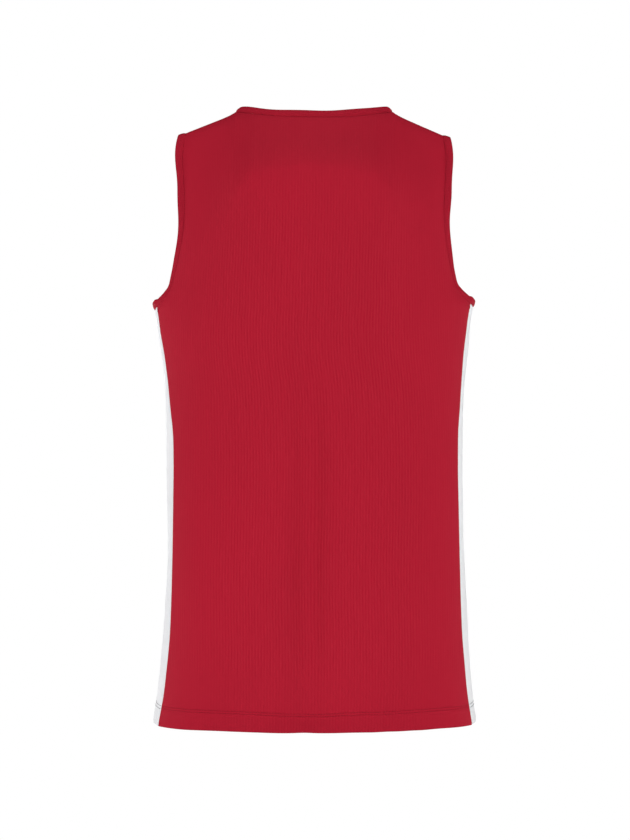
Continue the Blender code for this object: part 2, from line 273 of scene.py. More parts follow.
# Soft troughs and ridges of the cloth: where each lies, its half width and half length, how it leans from
# upright in degrees, and how far it stands out.
BACK_FOLDS = (
    {"x": 58, "z": -610, "wide": 34, "long": 85, "lean": 5, "out": 2.2},
    {"x": -66, "z": -635, "wide": 40, "long": 70, "lean": -6, "out": 2.4},
    {"x": 56, "z": -120, "wide": 26, "long": 55, "lean": -8, "out": 1.6},
    {"x": -72, "z": -150, "wide": 22, "long": 75, "lean": 4, "out": 1.2},
    {"x": 124, "z": -165, "wide": 27, "long": 80, "lean": 4, "out": -2.8},
    {"x": -114, "z": -178, "wide": 30, "long": 80, "lean": -4, "out": -4.2},
    {"x": 0, "z": -205, "wide": 24, "long": 90, "lean": 0, "out": -0.9},
    {"x": -62, "z": -330, "wide": 16, "long": 90, "lean": 2, "out": 0.7},
    {"x": 72, "z": -350, "wide": 18, "long": 70, "lean": -3, "out": 0.7},
    {"x": 95, "z": -700, "wide": 16, "long": 34, "lean": 3, "out": -0.7},
    {"x": 12, "z": -520, "wide": 15, "long": 225, "lean": 0, "out": -5.0},
    {"x": -20, "z": -440, "wide": 14, "long": 140, "lean": 0, "out": 0.8},
    {"x": 8, "z": -780, "wide": 40, "long": 44, "lean": 0, "out": -9.0},
    {"x": -84, "z": -775, "wide": 15, "long": 48, "lean": 2, "out": -2.8},
    {"x": -152, "z": -775, "wide": 13, "long": 45, "lean": -3, "out": -1.0},
    {"x": -127, "z": -775, "wide": 9, "long": 45, "lean": 0, "out": 0.8},
    {"x": 118, "z": -772, "wide": 22, "long": 45, "lean": 3, "out": -0.8},
    {"x": 165, "z": -778, "wide": 20, "long": 50, "lean": 0, "out": 1.6},
)
FRONT_FOLDS = (
    {"x": 40, "z": -640, "wide": 32, "long": 90, "lean": 5, "out": 1.8},
    {"x": -52, "z": -620, "wide": 36, "long": 95, "lean": -4, "out": 2.0},
    {"x": 132, "z": -165, "wide": 24, "long": 75, "lean": 6, "out": -1.6},
    {"x": -130, "z": -170, "wide": 24, "long": 80, "lean": -6, "out": -1.6},
    {"x": 0, "z": -430, "wide": 30, "long": 120, "lean": 2, "out": -1.4},
    {"x": 90, "z": -380, "wide": 22, "long": 80, "lean": -5, "out": 0.9},
    {"x": -88, "z": -360, "wide": 20, "long": 90, "lean": 4, "out": 0.8},
    {"x": 10, "z": -702, "wide": 18, "long": 40, "lean": 0, "out": -0.7},
)

# Where the body's cloth lies tight or double, its ribs fade: two places across or down the flat cut, in
# metres, and the ribs' strength before the first and past the second.
TIGHT_SIDES = (0.085, 0.150, 1.0, 0.40)
TIGHT_SHOULDERS = (-0.260, -0.040, 1.0, 0.20)
TIGHT_HEM = (-0.730, -0.715, 0.55, 1.0)

# Soft lights round the jersey: name, degrees round from the camera towards the wearer's left, rise, and
# watts.
LIGHTS = (
    ("side_left", 50, 0, 25.0),
    ("side_right", -50, 10, 35.0),
    ("edge_left", 75, 10, 20.0),
    ("front_left", 25, -12, 15.0),
    ("front_right", -25, -6, 28.0),
    ("top", 0, 85, 30.0),
    ("low_left", 105, -12, 23.0),
    ("low_right", -105, -12, 24.0),
    ("far", 165, 10, 26.0),
)
WHITE = (1.0, 1.0, 1.0, 1.0)
FLOOR_RADIUS = 60.0
# The glow of the floor beyond the jersey: two places along Y, in metres, and its strength before and past
# them.
FLOOR_GLOW = (-2.5, -1.0, 1.25, 0.0)


def mix(first, last, share):
    """The value at this share of the way from the first to the last."""
    return first + (last - first) * share


def unit(vectors):
    """Vectors of the same directions and of length 1."""
    return vectors / np.maximum(np.linalg.norm(vectors, axis=-1, keepdims=True), 1e-12)


def shoulder_line(x):
    """Height of the shoulder line, and of the arch that carries it on across the neck."""
    arch = NECK_END_Z + SHOULDER_SLOPE * (NECK_HALF**2 - x * x) / (2.0 * NECK_HALF)
    curl = NECK_CURL * (1.0 - np.exp((NECK_HALF - x) / NECK_CURL_REACH))
    return np.where(x < NECK_HALF, arch, NECK_END_Z - SHOULDER_SLOPE * (x - NECK_HALF) - curl)


def rounding(x, z):
    """Share of its full depth that the cloth has reached this far below the shoulder line."""
    beyond = np.clip((x - BLADE_EDGE[0]) / (BLADE_EDGE[1] - BLADE_EDGE[0]), 0.0, 1.0)
    beyond = beyond * beyond * (3.0 - 2.0 * beyond)
    reach = mix(ROUNDING_AT_NECK, ROUNDING_AT_TIP, beyond)
    left = np.clip(1.0 - (shoulder_line(x) - z) / reach, 0.0, 1.0)
    slope = 1.0 - left ** mix(POWER_AT_NECK, POWER_AT_TIP, beyond)
    return np.sqrt(slope * slope + RIDGE_ROUNDING * (1.0 - left) * left**3)


def full_depth(side, x, z):
    """Distance of the unfolded back or front from the plane of the sides, before it rounds to the shoulders."""
    power = SECTIONS.at("squareness", z)
    share = np.minimum(np.abs(x) / SECTIONS.at("half_width", z), 1.0)
    return SECTIONS.at(side, z) * (1.0 - share**power) ** (1.0 / power)


def trough(x, z):
    """Depth of the soft trough in the middle of the back."""
    along = np.exp(-(((z - TROUGH_MIDDLE_Z) / TROUGH_REACH) ** 4))
    return TROUGH_DEPTH * along * np.exp(-((np.hypot(x, TROUGH_SOFTNESS) / TROUGH_HALF) ** TROUGH_POWER))


def folded_in(side, x, z):
    """How far the trough and the armhole band have drawn the cloth in."""
    drawn = trough(x, z) if side == "back" else 0.0
    pull = ARMHOLE.at("pull", z) * np.minimum(x / ARMHOLE.at(side, z), 1.2) ** PULL_NARROWNESS
    return drawn + np.where(z > UNDERARM_Z, pull, 0.0)


def inside_panel(side, points):
    """Positive under the outer face of the back or front, negative outside it."""
    x, y, z = np.abs(points[..., 0]), np.abs(points[..., 1]), points[..., 2]
    deep = full_depth(side, x, z) * rounding(x, z)
    return deep**2 - (y + folded_in(side, x, z)) ** 2


def inside_flank(points):
    """Positive under the outer face of a side panel, negative outside it."""
    x, y, z = np.abs(points[..., 0]), points[..., 1], points[..., 2]
    power = SECTIONS.at("squareness", z)
    deep = np.where(y > 0, SECTIONS.at("back", z), SECTIONS.at("front", z))
    return 1.0 - (x / SECTIONS.at("half_width", z)) ** power - (np.abs(y) / deep) ** power


def outward(inside, points, step=0.01):
    """Unit normals of the outer face, down the slope of a function that falls from inside to outside."""
    slope = [inside(points + move) - inside(points - move) for move in step * np.eye(3)]
    return -unit(np.stack(slope, axis=-1))


def top_height(side, x):
    """Height of a panel's top edge: its neckline, then its shoulder seam."""
    share = np.minimum(x / NECK_HALF, 1.0)
    if side == "back":
        neck = NECK_END_Z - BACK_NECK_DIP * (1.0 - share**BACK_NECK_FLATNESS) ** BACK_NECK_ROUND
    else:
        neck = NECK_END_Z - FRONT_NECK_DROP * (1.0 - share**2) ** FRONT_NECK_ROUND
    return np.where(x >= NECK_HALF, shoulder_line(x), neck)


def fall(down):
    """Share of the armhole's height, spaced so that rows are close where the cloth turns over the shoulder."""
    last = ARMHOLE_CROWDING * math.pi
    return (1.0 - np.cos(last * down)) / (1.0 - math.cos(last))


def flare(share, z):
    """How far the cloth swings out at this share of the way from the middle to the side."""
    return FLARE * share**FLARE_NARROWNESS * np.exp(-(((z - UNDERARM_Z) / FLARE_REACH) ** 2))


def hem_height(side, across):
    """Height of a panel's hem, a little lifted towards the side seams."""
    sags = HEM_SAGS if side == "back" else ()
    sag = sum(sag["by"] * np.exp(-(((across - sag["across"]) / sag["wide"]) ** 2)) for sag in sags)
    return HEM_Z + HEM_LIFT * np.abs(across) ** HEM_LIFT_ROUND - sag


def panel_surface(side, across, down):
    """Outer points of the back or front: across -1 to 1, down 0 to 1 at the underarm and 2 at the hem."""
    share = np.abs(across)
    fallen = fall(np.minimum(down, 1.0))
    edge_z = mix(shoulder_line(SHOULDER_TIP), UNDERARM_Z, fallen)
    high_z = mix(top_height(side, share * SHOULDER_TIP), UNDERARM_Z, fallen)
    low_z = mix(UNDERARM_Z, hem_height(side, across), down - 1.0)
    low_x = share * SECTIONS.at("seam", low_z) * SECTIONS.at("half_width", low_z)
    x = np.where(down < 1.0, share * ARMHOLE.at(side, edge_z), low_x)
    z = np.where(down < 1.0, high_z, low_z)
    y = full_depth(side, x, z) * rounding(x, z) - folded_in(side, x, z)
    return np.stack([np.sign(across) * (x + flare(share, z)), y if side == "back" else -y, z], axis=-1)


def flank_surface(across, down):
    """Outer points of the left side panel: across -1 at its front seam to 1 at its back one, down 0 to 1."""
    top = UNDERARM_Z - UNDERARM_DIP * (1.0 - across * across)
    z = mix(top, HEM_Z + HEM_LIFT + FLANK_LIFT * (1.0 - across * across), down)
    power = SECTIONS.at("squareness", z)
    y = across * (1.0 - SECTIONS.at("seam", z) ** power) ** (1.0 / power)
    x = SECTIONS.at("half_width", z) * (1.0 - np.abs(y) ** power) ** (1.0 / power)
    deep = np.where(across > 0, SECTIONS.at("back", z), SECTIONS.at("front", z))
    return np.stack([x + flare(1.0, z), y * deep, z], axis=-1)


def hung(points):
    """Points after the garment's small lean, twist and tilt."""
    x, y, z = points[..., 0], points[..., 1], points[..., 2]
    twist = HANG.at("twist", z)
    moved_x = x - HANG.at("lean", z) - twist * y
    moved_z = z + HANG.at("tilt", z) * x / SHOULDER_TIP
    return np.stack([moved_x, y + SIDE_TWIST * twist * x, moved_z], axis=-1)


def soft_folds(folds, x, z):
    """How far the named folds carry the cloth out at each place."""
    out = np.zeros(np.broadcast(x, z).shape)
    for fold in folds:
        lean = math.radians(fold["lean"])
        across = (x - fold["x"]) * math.cos(lean) + (z - fold["z"]) * math.sin(lean)
        along = (z - fold["z"]) * math.cos(lean) - (x - fold["x"]) * math.sin(lean)
        crest = np.exp(-((across / fold["wide"]) ** 2))
        out = out + fold["out"] * crest * np.exp(-(np.abs(along / fold["long"]) ** 3))
    return out


def slack(x, z):
    """Slow unevenness of soft knit that nothing stretches, in three crossing waves."""
    first = 0.16 * np.sin(x / 17.0 + 0.9 * np.sin(z / 61.0))
    second = 0.12 * np.sin(z / 29.0 + x / 43.0 + 1.3)
    third = 0.10 * np.sin(x / 9.5 - z / 37.0 + 2.1)
    return first + second + third


# ------------------------------------------------------------------------------------------------------------
# Meshes from grids of points.


def wrap_quads(rows, columns, close_rows, close_columns):
    """Vertex numbers of the quads of a grid, whose rows or columns may run round to the first."""
    last_row, last_column = rows - (not close_rows), columns - (not close_columns)
    r, c = np.meshgrid(np.arange(last_row), np.arange(last_column), indexing="ij")
    down, right = (r + 1) % rows, (c + 1) % columns
    corners = [r * columns + c, r * columns + right, down * columns + right, down * columns + c]
    return np.stack(corners, axis=-1).reshape(-1, 4)


def face_out(mesh, close_ends_of=None):
    """Turns a mesh's faces outwards, after closing its open ends that have this many sides."""
    work = bmesh.new()
    work.from_mesh(mesh)
    if close_ends_of is not None:
        open_edges = [edge for edge in work.edges if edge.is_boundary]
        bmesh.ops.holes_fill(work, edges=open_edges, sides=close_ends_of)
    bmesh.ops.recalc_face_normals(work, faces=work.faces)
    work.to_mesh(mesh)
    work.free()


def millimetres(length):
    """A setting's length in millimetres, without the last digits that its storing adds."""
    return round(length / MM, 4)


def new_piece(name, points, quads, maps, material, sharp_angle=None, painted_doubled_shade=None):
    """A smooth mesh object in metres, facing out, with named maps given for each face corner."""
    mesh = bpy.data.meshes.new(name)
    mesh.from_pydata((hung(points) * MM).tolist(), [], quads.tolist())
    if painted_doubled_shade is not None:
        mesh.attributes.new("painted_doubled_shade", "FLOAT", "POINT").data.foreach_set("value", painted_doubled_shade)
    for map_name, corners in maps.items():
        layer = mesh.uv_layers.new(name=map_name, do_init=False)
        layer.uv.foreach_set("vector", np.ascontiguousarray(corners, np.float32).ravel())
    face_out(mesh)
    mesh.shade_smooth()
    if sharp_angle is not None:
        mesh.set_sharp_from_angle(angle=math.radians(sharp_angle))
    mesh.materials.append(material)
    piece = bpy.data.objects.new(name, mesh)
    bpy.context.scene.collection.objects.link(piece)
    return piece


def run_lengths(grid, axis):
    """Length along each row (axis 1) or column (axis 0) of a grid, from its first point."""
    steps = np.linalg.norm(np.diff(grid, axis=axis), axis=-1)
    start = np.zeros_like(np.take(steps, [0], axis=axis))
    return np.concatenate([start, np.cumsum(steps, axis=axis)], axis=axis)


def run_of(points):
    """Distance of each point of a line from its first, along the line."""
    return np.concatenate([[0.0], np.cumsum(np.linalg.norm(np.diff(points, axis=0), axis=1))])


def at_places(places, run, points):
    """Points, or other vectors, at these distances along a line whose points lie at the distances of a run."""
    return np.stack([np.interp(places, run, points[:, axis]) for axis in range(3)], axis=-1)


def closed(points):
    """A loop of points with its first one again at its end."""
    return np.concatenate([points, points[:1]])


def shell(name, middle, facing, thickness, cloth_map, material, doubled_shade=None):
    """A closed shell of even thickness about a grid of middle points, with its flat cut in the map 'Cloth'.

    Where another layer lies behind the cloth the last argument is 1. It is kept as a point attribute, through
    which the knit darkens its colour there as painted shade.
    """
    rows, columns = middle.shape[:2]
    outer, inner = middle + 0.5 * thickness * facing, middle - 0.5 * thickness * facing
    points = np.concatenate([outer.reshape(-1, 3), inner.reshape(-1, 3)])
    face = wrap_quads(rows, columns, False, False)
    count = rows * columns
    number = np.arange(count).reshape(rows, columns)
    rims = []
    for edge in (number[0], number[-1][::-1], number[::-1, 0], number[:, -1]):
        rims.append(np.stack([edge[:-1], edge[1:], edge[1:] + count, edge[:-1] + count], axis=-1))
    rim = np.concatenate(rims)
    quads = np.concatenate([face, face[:, ::-1] + count, rim])
    flat = cloth_map.reshape(-1, 2)
    cloth = np.concatenate([flat, flat])[quads]
    # The bake's own map: the outer face fills the left half of the image, the inner face the right half.
    low, high = flat.min(axis=0), flat.max(axis=0)
    spot = (flat - low) / (high - low) * np.array(BAKE_FACE) + BAKE_MARGIN
    bake = np.concatenate([spot, spot + np.array([0.5, 0.0])])[quads]
    along = np.linspace(BAKE_MARGIN, 0.99, len(rim))
    step = along[1] - along[0]
    strip = np.stack([along, along + step, along + step, along], axis=-1)
    rise = np.broadcast_to(np.repeat(BAKE_RIM, 2), strip.shape)
    bake[-len(rim):] = np.stack([strip, rise], axis=-1)
    painted_doubled_shade = None if doubled_shade is None else np.tile(doubled_shade.ravel(), 2).astype(np.float32)
    maps = {"Cloth": cloth, "OFBake": bake}
    return new_piece(name, points, quads, maps, material, sharp_angle=SHARP_ANGLE, painted_doubled_shade=painted_doubled_shade)


def ring(name, rings, along, around, material):
    """A closed tube from rings of points, with lengths along it and around it in metres in the map 'Cloth'."""
    count, corners = rings.shape[:2]
    quads = wrap_quads(count, corners, True, True)
    r, c = np.divmod(np.arange(count * corners), corners)
    u = np.stack([along[r], along[r], along[r + 1], along[r + 1]], axis=-1)
    v = np.stack([around[c], around[c + 1], around[c + 1], around[c]], axis=-1)
    cloth = np.stack([u, v], axis=-1)
    bake = BAKE_MARGIN + (1.0 - 2.0 * BAKE_MARGIN) * cloth / np.array([along[-1], around[-1]])
    return new_piece(name, rings.reshape(-1, 3), quads, {"Cloth": cloth, "OFBake": bake}, material)


# ------------------------------------------------------------------------------------------------------------
# Materials.


class Nodes:
    """Short ways to add and join a material's nodes."""

    def __init__(self, name):
        self.material = bpy.data.materials.new(name)
        self.material.use_nodes = True
        self.tree = self.material.node_tree
        self.shader = self.tree.nodes["Principled BSDF"]

    def add(self, kind, **settings):
        """A new node of this kind, with its settings."""
        node = self.tree.nodes.new(kind)
        for name, value in settings.items():
            setattr(node, name, value)
        return node

    def join(self, source, target):
        """Links an output to an input."""
        self.tree.links.new(source, target)

    def math(self, operation, first, second=0.0, third=0.0):
        """The result of one sum on values or outputs."""
        node = self.add("ShaderNodeMath", operation=operation)
        for place, value in enumerate((first, second, third)):
            if isinstance(value, bpy.types.NodeSocket):
                self.join(value, node.inputs[place])
            else:
                node.inputs[place].default_value = value
        return node.outputs[0]

    def parts(self, place):
        """The first two coordinates of a place."""
        node = self.add("ShaderNodeSeparateXYZ")
        self.join(place, node.inputs[0])
        return node.outputs[0], node.outputs[1]

    def noise(self, place, stretch, detail=2.0, roughness=0.5):
        """Smooth noise from 0 to 1, as fine in each direction as the stretch of its places."""
        node = self.add("ShaderNodeTexNoise")
        node.inputs["Scale"].default_value = 1.0
        node.inputs["Detail"].default_value = detail
        node.inputs["Roughness"].default_value = roughness
        self.join(self.stretched(place, stretch), node.inputs["Vector"])
        return node.outputs["Fac"]

    def stretched(self, place, stretch):
        """Places multiplied by a stretch in each direction."""
        node = self.add("ShaderNodeMapping")
        node.inputs["Scale"].default_value = stretch
        self.join(place, node.inputs["Vector"])
        return node.outputs["Vector"]

    def fade(self, place, start, end, first, last):
        """A value that eases from the first to the last as a place goes from start to end."""
        node = self.add("ShaderNodeMapRange", interpolation_type="SMOOTHSTEP")
        self.join(place, node.inputs["Value"])
        for socket, value in (("From Min", start), ("From Max", end), ("To Min", first), ("To Max", last)):
            node.inputs[socket].default_value = value
        return node.outputs["Result"]

    def colour(self, share, first, last):
        """Makes the surface's colour lie at this share of the way from the first to the last."""
        node = self.add("ShaderNodeMix", data_type="RGBA")
        self.join(share, node.inputs["Factor"])
        # A mix node's colours are its inputs 6 and 7 and its output 2.
        node.inputs[6].default_value = first
        node.inputs[7].default_value = last
        self.join(node.outputs[2], self.shader.inputs["Base Color"])

    def bump(self, height, depth, below=None):
        """A normal tilted by a relief of this depth in metres, over the relief below."""
        node = self.add("ShaderNodeBump")
        node.inputs["Strength"].default_value = 1.0
        node.inputs["Distance"].default_value = depth
        self.join(height, node.inputs["Height"])
        if below is not None:
            self.join(below, node.inputs["Normal"])
        return node.outputs["Normal"]


def shaded(colour, factor):
    """A colour made lighter or darker, as a shader colour."""
    return (*(channel * factor for channel in colour), 1.0)


def knit_ribs(nodes, place, across, pitch):
    """Upright ribs from 0 to 1: a wave across the cloth, nudged sideways so that no rib runs dead straight."""
    wander = nodes.noise(place, (60.0, 22.0, 1.0))
    nudged = nodes.math("MULTIPLY_ADD", wander, 0.0016, across)
    wave = nodes.math("SINE", nodes.math("MULTIPLY", nudged, 2.0 * math.pi / pitch))
    return nodes.math("MULTIPLY_ADD", wave, 0.5, 0.5)


def rib_strength(nodes, place, across, down, body):
    """How strongly the ribs show: they come and go, and fade where the body's cloth is tight or double."""
    runs = nodes.noise(place, (300.0, 42.0, 1.0), detail=3.0, roughness=0.6)
    strength = nodes.fade(runs, 0.36, 0.64, 0.15, 1.0)
    if body:
        from_middle = nodes.math("ABSOLUTE", across)
        for way, limits in ((from_middle, TIGHT_SIDES), (down, TIGHT_SHOULDERS), (down, TIGHT_HEM)):
            strength = nodes.math("MULTIPLY", strength, nodes.fade(way, *limits))
    return strength


def knit_yarn(nodes, across, down, cloth):
    """Loops of yarn from 0 to 1, with two slanting legs to each."""
    wale = nodes.math("FRACT", nodes.math("MULTIPLY", across, 1.0 / cloth.stitch_width))
    leg = nodes.math("ABSOLUTE", nodes.math("SUBTRACT", wale, 0.5))
    course = nodes.math("MULTIPLY", down, 2.0 * math.pi / cloth.stitch_height)
    slant = nodes.math("MULTIPLY_ADD", leg, 5.0, course)
    loop = nodes.math("MULTIPLY_ADD", nodes.math("SINE", slant), 0.5, 0.5)
    crown = nodes.math("SINE", nodes.math("MULTIPLY", wale, 4.0 * math.pi))
    return nodes.math("MULTIPLY", loop, nodes.math("MULTIPLY_ADD", crown, 0.3, 0.7))


def knit(name, colour, cloth, rib_pitch, rib_share, body=False):
    """Polyester knit: fine upright ribs that come and go, small stitches, and a slow unevenness of the dye.

    The share says how much lighter a rib's crest is painted than its furrow: painted light and shade of the ribs'
    relief.
    """
    nodes = Nodes(name)
    place = nodes.add("ShaderNodeUVMap", uv_map="Cloth").outputs["UV"]
    across, down = nodes.parts(place)
    rib = knit_ribs(nodes, place, across, rib_pitch)
    strength = rib_strength(nodes, place, across, down, body)
    rise = nodes.math("MULTIPLY", nodes.math("SUBTRACT", rib, 0.5), strength)
    yarn = knit_yarn(nodes, across, down, cloth)
    # Colour: never quite even, as dye is, with painted light on the ribs' crests, painted shade in their furrows
    # and between the yarn's loops, and painted shade where another layer lies behind.
    patches = nodes.noise(place, (6.0, 4.0, 1.0), detail=4.0, roughness=0.6)
    flecks = nodes.noise(place, (420.0, 260.0, 1.0), roughness=0.7)
    light = nodes.math("MULTIPLY_ADD", patches, 0.30, nodes.math("MULTIPLY", flecks, 0.24))
    # Painted light and shade of the ribs: lighter on each crest, darker in each furrow.
    light = nodes.math("MULTIPLY_ADD", rise, rib_share, nodes.math("ADD", light, 0.075))
    # Painted shade between the yarn's loops.
    light = nodes.math("MULTIPLY_ADD", yarn, 0.12, light)
    # Painted shade: the colour is darkened where the turned hem or a seam's edges lie behind, over the hem band
    # and along the seams.
    doubled_shade = nodes.add("ShaderNodeAttribute", attribute_name="painted_doubled_shade").outputs["Fac"]
    light = nodes.math("MULTIPLY_ADD", doubled_shade, -0.05, light)
    nodes.colour(light, shaded(colour, 0.80), shaded(colour, 1.22))
    # Relief: the ribs stand on the yarn's own relief.
    ridge = nodes.math("MULTIPLY", rib, strength)
    low = nodes.bump(yarn, cloth.stitch_relief)
    nodes.join(nodes.bump(ridge, cloth.rib_relief, low), nodes.shader.inputs["Normal"])
    # Finish: a rib's crest shines a little more than its furrow.
    nodes.join(nodes.math("MULTIPLY_ADD", flecks, 0.16, 0.66), nodes.shader.inputs["Roughness"])
    nodes.join(nodes.math("MULTIPLY_ADD", rise, 0.115, 0.06), nodes.shader.inputs["Specular IOR Level"])
    nodes.shader.inputs["Sheen Weight"].default_value = cloth.sheen
    nodes.shader.inputs["Sheen Roughness"].default_value = 0.45
    nodes.shader.inputs["Sheen Tint"].default_value = shaded(colour, 1.3)
    return nodes.material


def thread(name, colour):
    """Twisted sewing thread."""
    nodes = Nodes(name)
    place = nodes.add("ShaderNodeTexCoord").outputs["Object"]
    twist = nodes.noise(place, (2200.0, 2200.0, 2200.0))
    # The colour is painted darker where the twist's relief is low: painted shade.
    nodes.colour(twist, shaded(colour, 0.75), shaded(colour, 1.15))
    nodes.join(nodes.bump(twist, 0.00012), nodes.shader.inputs["Normal"])
    nodes.shader.inputs["Roughness"].default_value = 0.6
    nodes.shader.inputs["Specular IOR Level"].default_value = 0.1
    return nodes.material


def overlock(name, colour, pitch):
    """The neatened edges of a seam: rows of looped thread that lean as they run across the strip."""
    nodes = Nodes(name)
    along, reach = nodes.parts(nodes.add("ShaderNodeUVMap", uv_map="Cloth").outputs["UV"])
    lean = nodes.math("MULTIPLY_ADD", reach, 0.35, along)
    wave = nodes.math("SINE", nodes.math("MULTIPLY", lean, 2.0 * math.pi / pitch))
    loop = nodes.math("MULTIPLY_ADD", wave, 0.5, 0.5)
    # The colour is painted darker between the loops, where the relief is low: painted shade.
    nodes.colour(loop, shaded(colour, 0.55), shaded(colour, 1.1))
    nodes.join(nodes.bump(loop, 0.0004), nodes.shader.inputs["Normal"])
    nodes.shader.inputs["Roughness"].default_value = 0.7
    nodes.shader.inputs["Specular IOR Level"].default_value = 0.06
    return nodes.material


def shared(make, name, *facts, **more):
    """The material of that name, made on first use from its facts."""
    return bpy.data.materials.get(name) or make(name, *facts, **more)


def red_knit(cloth):
    """Ribbed knit of the back and front."""
    return shared(knit, "red_cloth", cloth.red, cloth, cloth.rib_pitch, rib_share=0.31, body=True)


def white_knit(cloth):
    """Plainer knit of the side panels."""
    return shared(knit, "white_cloth", cloth.white, cloth, cloth.rib_pitch, rib_share=0.10)


def band_knit(cloth):
    """Finely ribbed knit of the bands."""
    return shared(knit, "band_cloth", cloth.band_red, cloth, cloth.band_rib_pitch, rib_share=0.16)


def seam_edge(cloth):
    """Neatened edges of every seam, inside the jersey."""
    return shared(overlock, "red_overlock", cloth.band_red, cloth.overlock_pitch)


# ------------------------------------------------------------------------------------------------------------
# Pieces of cloth.


def seam_roll(depth, distance):
    """How far the cloth dips as it turns into a seam, this far from the seam."""
    return -depth * np.exp(-((distance / ROLL_REACH) ** 2))


def stitch_dip(above_hem, along, from_side):
    """How far the hem's two rows of stitching pull the cloth in, and the small puckers over its turning."""
    rows = sum(np.exp(-(((above_hem - row) / STITCH_PULL_REACH) ** 2)) for row in STITCH_ROWS)
    zone = np.exp(-(((above_hem - 15.0) / 14.0) ** 4))
    puckers = 0.16 * np.sin(along / 4.1 + 0.7 * np.sin(along / 23.0)) + 0.14 * np.sin(along / 11.0 + 1.0)
    return (zone * puckers - STITCH_PULL * rows) * (1.0 - np.exp(-((from_side / STITCH_PULL_FADE) ** 2)))


def finished_rows():
    """Places down the body as shares, at even spacing, then close together over the turned hem."""
    height = UNDERARM_Z - HEM_Z
    close_from = 1.0 - (HEM_TURN + CLOSE_ROWS_ABOVE_HEM) / height
    even = np.linspace(0.0, close_from, int(height * close_from / ROW_SPACING) + 1)
    close = np.linspace(close_from, 1.0 - HEM_FOLD_RADIUS / height, CLOSE_ROWS)
    return np.concatenate([even, close[1:]])


def turned_hem(points, facing, along):
    """Rows added to a grid that ends above its hem: the fold, and the turned cloth inside it."""
    radius = HEM_FOLD_RADIUS
    last, out = points[-1], facing[-1]
    down = unit(last - points[-2])
    rows, normals = [], []
    for angle in np.linspace(0.0, math.pi, 8)[1:]:
        turned = math.cos(angle) * out + math.sin(angle) * down
        rows.append(last - radius * out + radius * turned)
        normals.append(turned)
    lengths = run_lengths(points, 0)
    back_up = lengths[-1].mean() - lengths.mean(axis=1)
    for height in (*HEM_INNER_ROWS, HEM_TURN - radius):
        k = int(np.argmin(np.abs(back_up - height)))
        waver = 0.12 * np.sin(along / 6.0 + height)
        rows.append(points[k] - (2.0 * radius + waver[:, None]) * facing[k])
        normals.append(-facing[k])
    return np.concatenate([points, np.stack(rows)]), np.concatenate([facing, np.stack(normals)])


def painted_shade_where_doubled(above_hem, from_side, from_top, middle):
    """1 where the turned hem or a seam's edges lie behind a whole panel's grid, and 0 elsewhere: where the knit's
    colour is darkened as painted shade.
    """
    from_seam = np.minimum(from_side, from_top)
    body = np.clip(np.maximum(HEM_TURN - above_hem, SEAM_ALLOWANCE - from_seam) / 2.0, 0.0, 1.0)
    return np.concatenate([body, np.ones((len(middle) - len(body), body.shape[1]))])


def panel_columns():
    """Places across a main panel from -1 to 1, close together at the neck's corners and at the sides."""
    angles = np.linspace(-0.5 * math.pi, 0.5 * math.pi, 97)
    neck = CORNER * mix(angles / (0.5 * math.pi), np.sin(angles), 0.55)
    outer = np.concatenate([np.linspace(CORNER, 0.975, 25)[1:], [0.984, 0.990, 0.9945, 0.998, 1.0]])
    return np.concatenate([-outer[::-1], neck, outer])


def panel_rows():
    """Places down a main panel from 0 at its top edge, past 1 at the underarm, to 2 at the hem."""
    top = np.concatenate([[0.0, 0.004, 0.009], np.linspace(0.0, 1.0, 76)[1:]])
    return np.concatenate([top, 1.0 + finished_rows()[1:]])


def grain_map(side, grid):
    """The cut laid flat, in metres: ribs run straight down it from shoulder to hem."""
    x, z = grid[..., 0], grid[..., 2]
    steps = np.linspace(0.0, 1.0, 25)
    reach = np.abs(x)[..., None] * steps
    depth = full_depth(side, reach, z[..., None])
    width = np.hypot(np.diff(reach, axis=-1), np.diff(depth, axis=-1)).sum(axis=-1)
    down = run_lengths(grid, 0)
    length = down[-1].max() - down[-1] + down
    return np.stack([np.sign(x) * width, -length], axis=-1) * MM


def main_panel(side, folds):
    """Middle points, facing and flat map of the back or front, hem turned and ready to shell."""
    columns, rows = panel_columns(), panel_rows()
    across, down = np.meshgrid(columns, rows)
    points = panel_surface(side, across, down)
    facing = outward(inside_of(side), points)
    from_top = run_lengths(points, 0)
    from_left = run_lengths(points, 1)
    from_side = np.minimum(from_left, from_left[:, -1:] - from_left)
    above_hem = from_top[-1] - from_top + HEM_FOLD_RADIUS
    x, z = points[..., 0], points[..., 2]
    free = 1.0 - np.exp(-((np.minimum(from_top, from_side) / FREE_REACH) ** 2))
    out = free * (soft_folds(folds, x, z) + slack(x, z))
    side_roll = mix(BAND_ROLL, SEAM_ROLL, np.clip((UNDERARM_Z - z) / ROLL_CHANGE_HEIGHT, 0.0, 1.0))
    top_roll = mix(BAND_ROLL, NECK_ROLL, np.clip((CORNER - np.abs(across)) / ROLL_CHANGE_ACROSS, 0.0, 1.0))
    # The outermost columns are the armhole's edge, where only its own roll counts.
    out += seam_roll(side_roll, from_side) + seam_roll(top_roll, from_top) * (np.abs(across) < 1.0)
    out += stitch_dip(above_hem, from_left, from_side)
    middle = points + (out - INSET)[..., None] * facing
    # Along the shoulders the back's and the front's edges are moved apart, which leaves the seam's gap.
    on_shoulder = np.abs(columns) >= CORNER - 1e-9
    middle[0, on_shoulder, 1] += 0.8 * SEAM_GAP * (1.0 if side == "back" else -1.0)
    # In the flat map the hem's turning is folded back up over the panel.
    flat = grain_map(side, points)
    middle, facing = turned_hem(middle, facing, from_left[-1])
    extra = run_lengths(middle, 0)[len(rows) - 1 :] * MM
    below = flat[-1] + np.stack([np.zeros_like(extra), extra - extra[0]], axis=-1)[1:]
    return middle, facing, np.concatenate([flat, below]), painted_shade_where_doubled(above_hem, from_side, from_top, middle)


